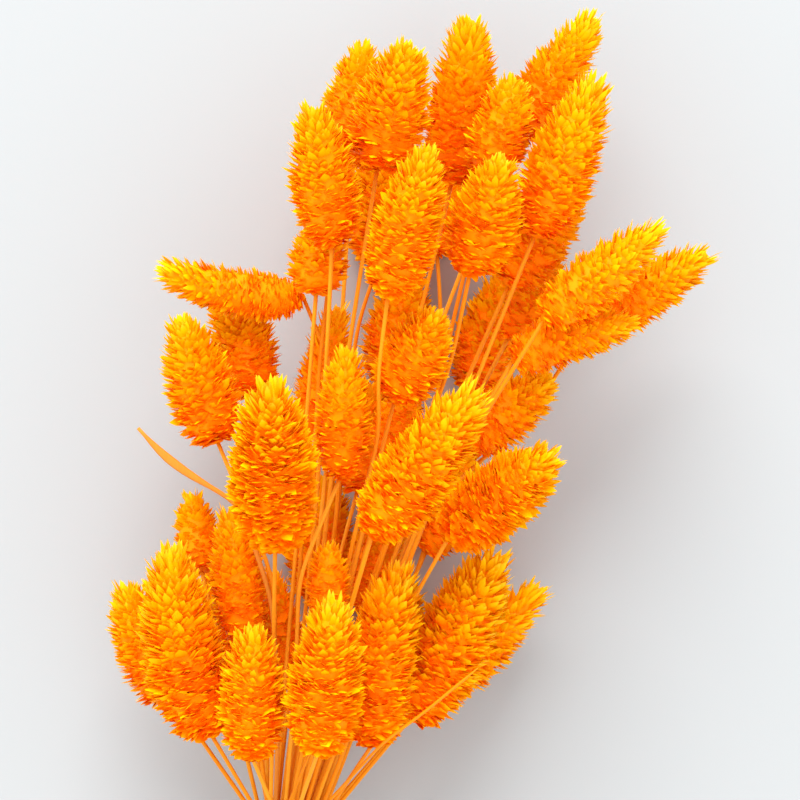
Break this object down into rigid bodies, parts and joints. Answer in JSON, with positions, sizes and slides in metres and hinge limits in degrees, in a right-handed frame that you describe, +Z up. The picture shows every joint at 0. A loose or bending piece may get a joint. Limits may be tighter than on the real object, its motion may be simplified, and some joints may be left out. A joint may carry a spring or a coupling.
{
  "type": "dried canary grass bunch",
  "caption": "Tied bunch of dyed canary grass stems with plump scaly seed heads, laid down on its side.",
  "frame": {"origin": "on the surface the bunch lies on, under the middle of its box", "axes": "+Y from the cut stem ends to the seed heads, +Z up, +X to the right seen from above with the heads away"},
  "size_m": [0.15, 0.4072, 0.0889],
  "materials": {
    "seed_head": "dyed, matt, papery",
    "straw": "dyed stem, satin",
    "twine": "natural twine"
  },
  "bodies": {
    "root": {"seed_head_a01": "seed_head", "seed_head_a02": "seed_head", "seed_head_a03": "seed_head", "seed_head_a04": "seed_head", "seed_head_a05": "seed_head", "seed_head_a06": "seed_head", "seed_head_a07": "seed_head", "seed_head_a08": "seed_head", "seed_head_a09": "seed_head", "seed_head_a10": "seed_head", "seed_head_a11": "seed_head", "seed_head_b01": "seed_head", "seed_head_b02": "seed_head", "seed_head_b03": "seed_head", "seed_head_b04": "seed_head", "seed_head_b05": "seed_head", "seed_head_b06": "seed_head", "seed_head_b07": "seed_head", "seed_head_b08": "seed_head", "seed_head_b09": "seed_head", "seed_head_b10": "seed_head", "seed_head_b11": "seed_head", "seed_head_b12": "seed_head", "seed_head_b13": "seed_head", "seed_head_b14": "seed_head", "seed_head_b15": "seed_head", "seed_head_b16": "seed_head", "seed_head_c01": "seed_head", "seed_head_c02": "seed_head", "seed_head_c03": "seed_head", "seed_head_c04": "seed_head", "seed_head_c05": "seed_head", "seed_head_c06": "seed_head", "seed_head_c07": "seed_head", "seed_head_c08": "seed_head", "seed_head_c09": "seed_head", "seed_head_c10": "seed_head", "seed_head_c11": "seed_head", "seed_head_c12": "seed_head", "seed_head_d01": "seed_head", "seed_head_d02": "seed_head", "seed_head_d03": "seed_head", "seed_head_d04": "seed_head", "seed_head_d05": "seed_head", "seed_head_d06": "seed_head", "seed_head_d07": "seed_head", "seed_head_d08": "seed_head", "seed_head_d09": "seed_head", "seed_head_d10": "seed_head", "leaf_blade": "straw", "bare_stem_1": "straw", "bare_stem_2": "straw", "twine_tie": "twine"}
  },
  "joints": []
}
